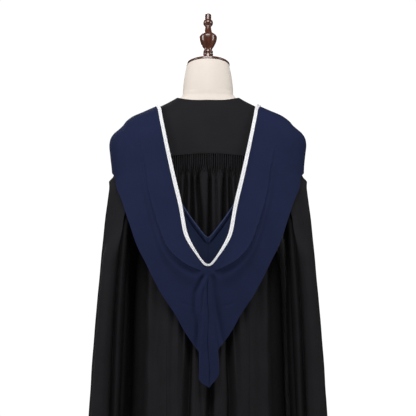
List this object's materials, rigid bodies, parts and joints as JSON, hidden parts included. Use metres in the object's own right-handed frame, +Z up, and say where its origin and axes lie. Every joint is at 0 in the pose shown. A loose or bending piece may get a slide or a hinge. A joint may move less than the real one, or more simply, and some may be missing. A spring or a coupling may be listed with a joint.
{
  "type": "graduation gown with hood on a dress form",
  "caption": "Open black gown with gathered back and long bell sleeves, a navy hood with white cord edge, on a limbless dress form with a turned neck cap, pole and round foot",
  "frame": {"origin": "centre of the underside of the round foot, on the floor", "axes": "+Z up, +Y out of the wearer's back (the side that shows the hood's tail), +X the wearer's left"},
  "size_m": [0.6142, 0.41, 1.656],
  "materials": {
    "black_cloth": "matte, plain weave",
    "navy_cloth": "matte, plain weave",
    "navy_satin": "satin",
    "white_cord": "silky double cord",
    "linen_cover": "matte, plain weave",
    "dark_wood": "turned, glossy varnish",
    "stand_steel": "plain"
  },
  "bodies": {
    "root": {"yoke": "black_cloth", "back": "black_cloth", "front_left": "black_cloth", "front_right": "black_cloth", "sleeve_left": "black_cloth", "sleeve_right": "black_cloth", "hood_left": "navy_cloth", "hood_right": "navy_cloth", "lining_left": "navy_satin", "lining_right": "navy_satin", "trim_left": "white_cord", "trim_right": "white_cord", "form_torso": "linen_cover", "neck_cap": "dark_wood", "stand_pole": "stand_steel", "stand_base": "dark_wood"}
  },
  "joints": []
}
